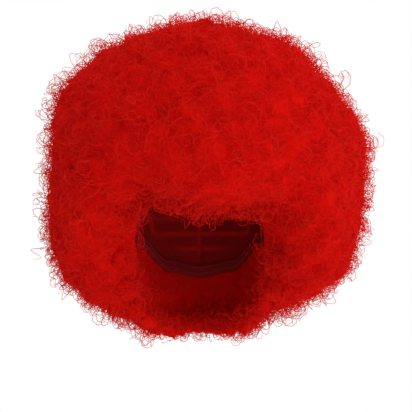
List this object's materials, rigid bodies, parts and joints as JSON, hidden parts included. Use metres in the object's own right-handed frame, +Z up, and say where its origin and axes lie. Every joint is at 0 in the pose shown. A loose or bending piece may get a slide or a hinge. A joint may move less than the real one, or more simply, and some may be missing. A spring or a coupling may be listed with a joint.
{
  "type": "afro wig",
  "caption": "Large round curly afro wig on a stretch net cap, open at the face and neck, worn form, held on a head at its crown.",
  "frame": {"origin": "where the crown of the wearer's head touches the inside of the cap", "axes": "+Z up, -Y towards the forehead, +X towards the wearer's left"},
  "size_m": [0.3546, 0.3549, 0.3482],
  "materials": {
    "fibre_hair": "frizzed curly synthetic fibre with a slight sheen",
    "cap_net": "fine stretch net with sewn rows of weft",
    "elastic_band": "matt ribbed elastic"
  },
  "bodies": {
    "root": {"wig_cap": "cap_net", "edge_band": "elastic_band", "crown_hair": "fibre_hair", "fringe_hair": "fibre_hair", "left_side_hair": "fibre_hair", "right_side_hair": "fibre_hair", "back_hair": "fibre_hair"}
  },
  "joints": []
}
